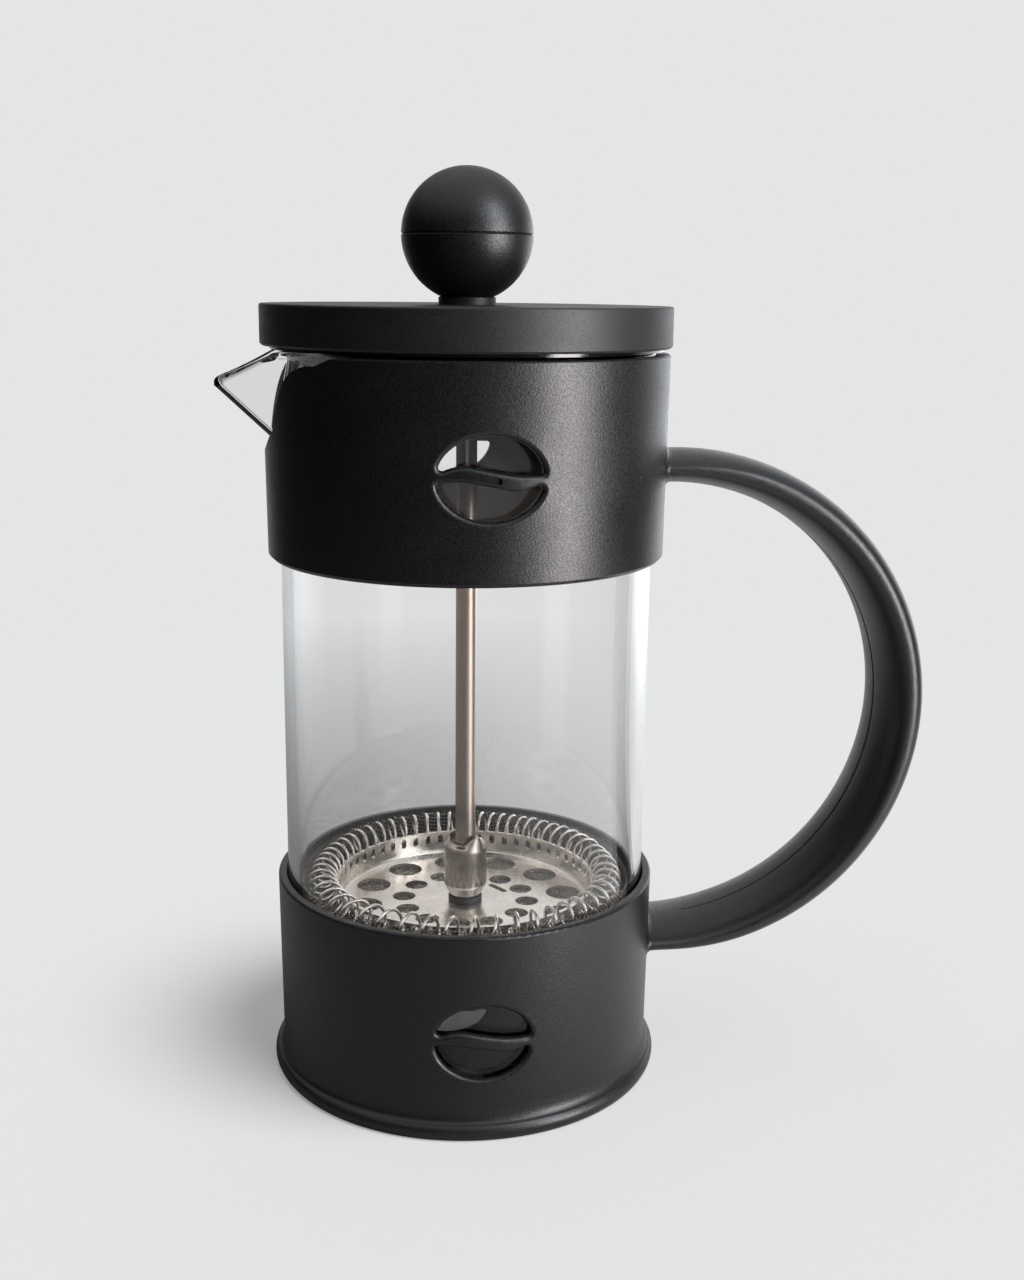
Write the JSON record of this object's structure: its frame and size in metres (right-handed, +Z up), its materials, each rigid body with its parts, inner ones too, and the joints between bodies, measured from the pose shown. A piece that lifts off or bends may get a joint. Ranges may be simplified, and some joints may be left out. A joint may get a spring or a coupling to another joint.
{
  "type": "french press",
  "caption": "Small coffee plunger pot: glass beaker in a black plastic cup-and-band holder with a loop handle, flat lid, ball knob and spring-edged steel filter.",
  "frame": {"origin": "centre of the holder's underside, on the press's axis", "axes": "+Z up along the plunger rod, +X towards the loop handle, -X towards the pouring spout, windows face -Y and +Y"},
  "size_m": [0.1382, 0.0766, 0.1729],
  "materials": {
    "holder_plastic": "satin black polypropylene with a fine spark-eroded grain",
    "lid_plastic": "satin black plastic, fine grain",
    "liner_plastic": "matt black plastic",
    "knob_plastic": "soft-gloss black plastic",
    "beaker_glass": "clear heat-resistant glass",
    "rod_steel": "drawn and brushed stainless steel",
    "hub_steel": "turned stainless steel",
    "plate_steel": "pressed stainless steel sheet",
    "coil_wire": "bright stainless spring wire",
    "screen_gauze": "woven stainless gauze",
    "washer_rubber": "dark seal",
    "insert_brass": "threaded brass insert"
  },
  "bodies": {
    "holder": {"base_cup": "holder_plastic", "upper_band": "holder_plastic", "handle": "holder_plastic"},
    "beaker": {"glass_beaker": "beaker_glass"},
    "lid": {"lid_cap": "lid_plastic", "lid_liner": "liner_plastic", "rod_bushing": "lid_plastic"},
    "plunger": {"knob_lower": "knob_plastic", "knob_upper": "knob_plastic", "knob_insert": "insert_brass", "plunger_rod": "rod_steel", "rod_hub": "hub_steel", "hub_washer": "washer_rubber", "spring_plate": "plate_steel", "coil_spring": "coil_wire", "mesh_screen": "screen_gauze", "cross_plate": "plate_steel", "retaining_nut": "hub_steel"}
  },
  "joints": [
    {"name": "beaker_lift", "type": "slide", "parent": "holder", "child": "beaker", "axis": [0, 0, 1], "range_m": [0, 0.14]},
    {"name": "lid_lift", "type": "slide", "parent": "beaker", "child": "lid", "axis": [0, 0, 1], "range_m": [0, 0.12]},
    {"name": "plunger_slide", "type": "slide", "parent": "lid", "child": "plunger", "axis": [0, 0, 1], "range_m": [0, 0.09]}
  ]
}
